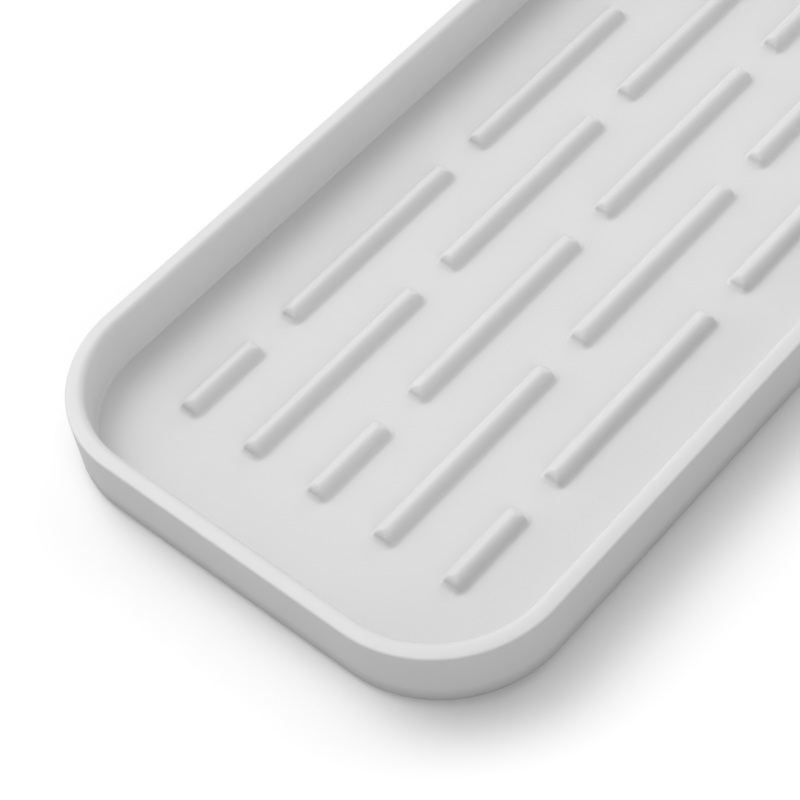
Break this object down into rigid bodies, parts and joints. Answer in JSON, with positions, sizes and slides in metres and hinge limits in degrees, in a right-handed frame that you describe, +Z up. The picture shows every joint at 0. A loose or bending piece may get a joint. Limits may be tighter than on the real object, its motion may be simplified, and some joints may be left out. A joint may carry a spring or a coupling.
{
  "type": "silicone drip tray",
  "caption": "Rounded rectangular silicone drip tray with a low flat-topped wall and staggered half-round drain ribs, for soap, sponges or bottles.",
  "frame": {"origin": "middle of the tray on its underside", "axes": "+X along the tray towards the side named right, +Y across it towards the side named back and the lane of ribs named a, +Z up out of the open top"},
  "size_m": [0.2262, 0.12, 0.0162],
  "materials": {
    "silicone_tray": "matte moulded silicone, pale neutral grey",
    "silicone_ribs": "satin moulded silicone, pale neutral grey, a little smoother on the rib crowns"
  },
  "bodies": {
    "root": {"tray_floor": "silicone_tray", "rim_corner_back_right": "silicone_tray", "rim_corner_back_left": "silicone_tray", "rim_corner_front_left": "silicone_tray", "rim_corner_front_right": "silicone_tray", "rim_side_back": "silicone_tray", "rim_side_left": "silicone_tray", "rim_side_front": "silicone_tray", "rim_side_right": "silicone_tray", "drain_rib_a1": "silicone_ribs", "drain_rib_a2": "silicone_ribs", "drain_rib_a3": "silicone_ribs", "drain_rib_a4": "silicone_ribs", "drain_rib_b1": "silicone_ribs", "drain_rib_b2": "silicone_ribs", "drain_rib_b3": "silicone_ribs", "drain_rib_c1": "silicone_ribs", "drain_rib_c2": "silicone_ribs", "drain_rib_c3": "silicone_ribs", "drain_rib_c4": "silicone_ribs", "drain_rib_d1": "silicone_ribs", "drain_rib_d2": "silicone_ribs", "drain_rib_d3": "silicone_ribs", "drain_rib_e1": "silicone_ribs", "drain_rib_e2": "silicone_ribs", "drain_rib_e3": "silicone_ribs", "drain_rib_e4": "silicone_ribs"}
  },
  "joints": []
}
